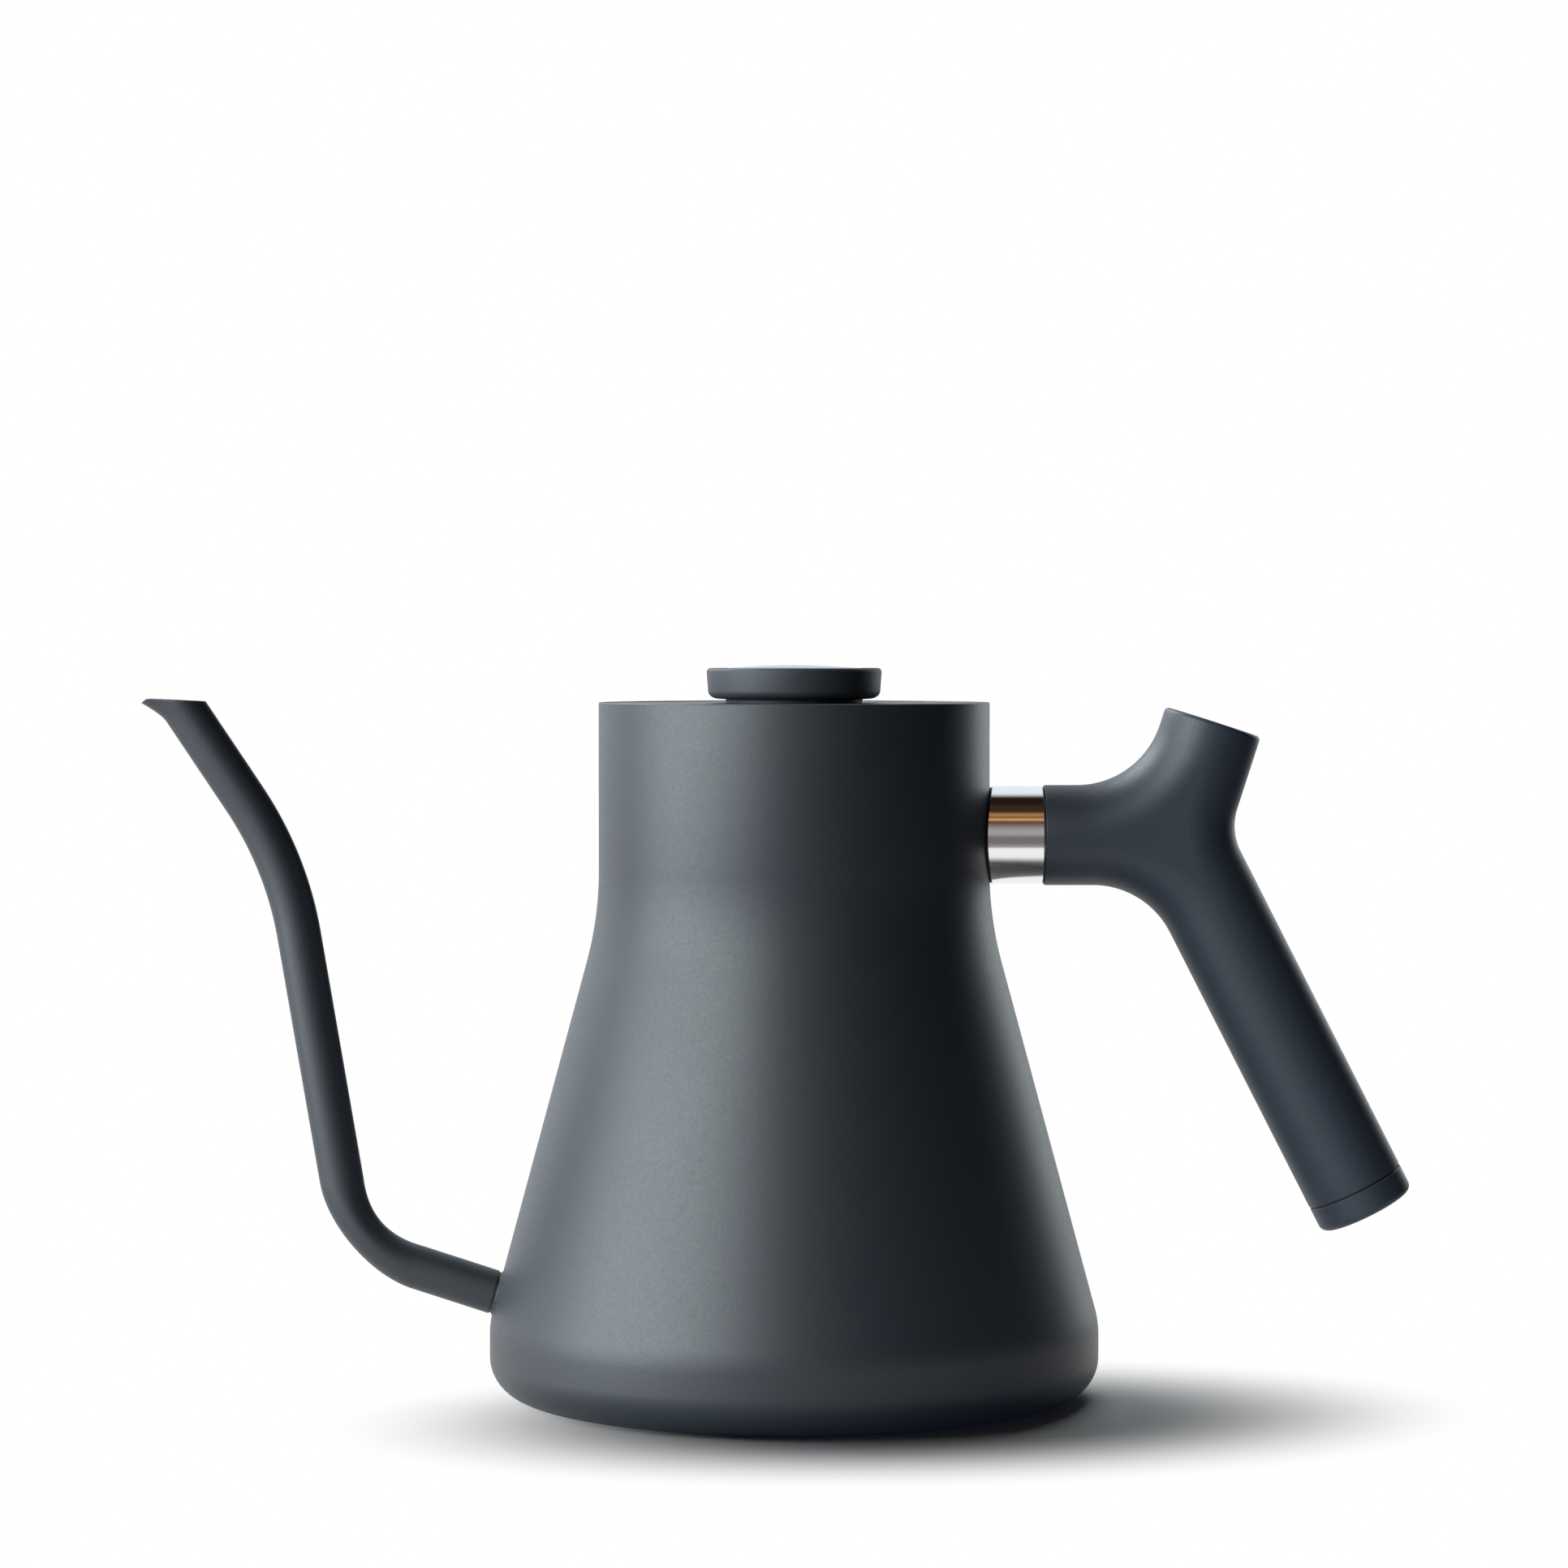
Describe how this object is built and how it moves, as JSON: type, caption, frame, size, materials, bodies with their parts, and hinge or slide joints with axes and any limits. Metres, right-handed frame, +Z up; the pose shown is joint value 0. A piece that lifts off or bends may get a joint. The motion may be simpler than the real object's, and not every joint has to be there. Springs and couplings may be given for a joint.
{
  "type": "gooseneck kettle",
  "caption": "Stovetop gooseneck kettle: conical body, thin S-bent spout, lift-off lid with a dial thermometer knob, forked weighted handle.",
  "frame": {"origin": "centre of the flat base cap's underside, on the kettle's own axis", "axes": "+Z up along the kettle's axis, +X towards the handle, -X towards the spout, the handle and spout both lie in the X-Z plane"},
  "size_m": [0.2923, 0.1404, 0.1686],
  "materials": {
    "coated_steel": "matte fine-grained powder coat, dark slate",
    "grip_plastic": "matte moulded plastic, dark slate",
    "polished_steel": "mirror polished stainless steel",
    "brushed_steel": "satin stainless steel",
    "core_aluminium": "plain",
    "silicone": "matte black silicone",
    "dial_print": "printed dial plate",
    "needle_paint": "orange painted sheet",
    "bimetal": "plain strip",
    "dial_glass": "clear"
  },
  "bodies": {
    "kettle": {"body_shell": "coated_steel", "seat_ring": "brushed_steel", "body_floor": "brushed_steel", "base_core": "core_aluminium", "base_cap": "brushed_steel", "spout_tube": "coated_steel", "handle_bracket": "brushed_steel", "handle_collar": "polished_steel", "collar_washers": "silicone", "handle_grip": "grip_plastic", "clamp_screw": "brushed_steel", "horn_plug": "grip_plastic", "counterweight": "brushed_steel", "end_cap": "grip_plastic", "end_cap_seal": "silicone"},
    "gasket": {"lid_gasket": "silicone"},
    "lid": {"lid_plate": "coated_steel", "lid_liner": "brushed_steel", "knob_case": "coated_steel", "dial_face": "dial_print", "dial_spacer": "polished_steel", "dial_lens": "dial_glass", "bimetal_coil": "bimetal", "probe_tube": "brushed_steel", "probe_washer": "silicone", "probe_nut": "brushed_steel"},
    "pointer": {"needle": "needle_paint", "spindle": "brushed_steel"}
  },
  "joints": [
    {"name": "lid_lift", "type": "slide", "parent": "kettle", "child": "gasket", "axis": [0, 0, 1], "range_m": [0, 0.105]},
    {"name": "lid_turn", "type": "hinge", "parent": "gasket", "child": "lid", "pos_m": [0, 0, 0.16], "axis": [0, 0, 1], "continuous": true},
    {"name": "needle_turn", "type": "hinge", "parent": "lid", "child": "pointer", "pos_m": [0, 0, 0.1643], "axis": [0, 0, -1], "range_deg": [0, 270]}
  ]
}
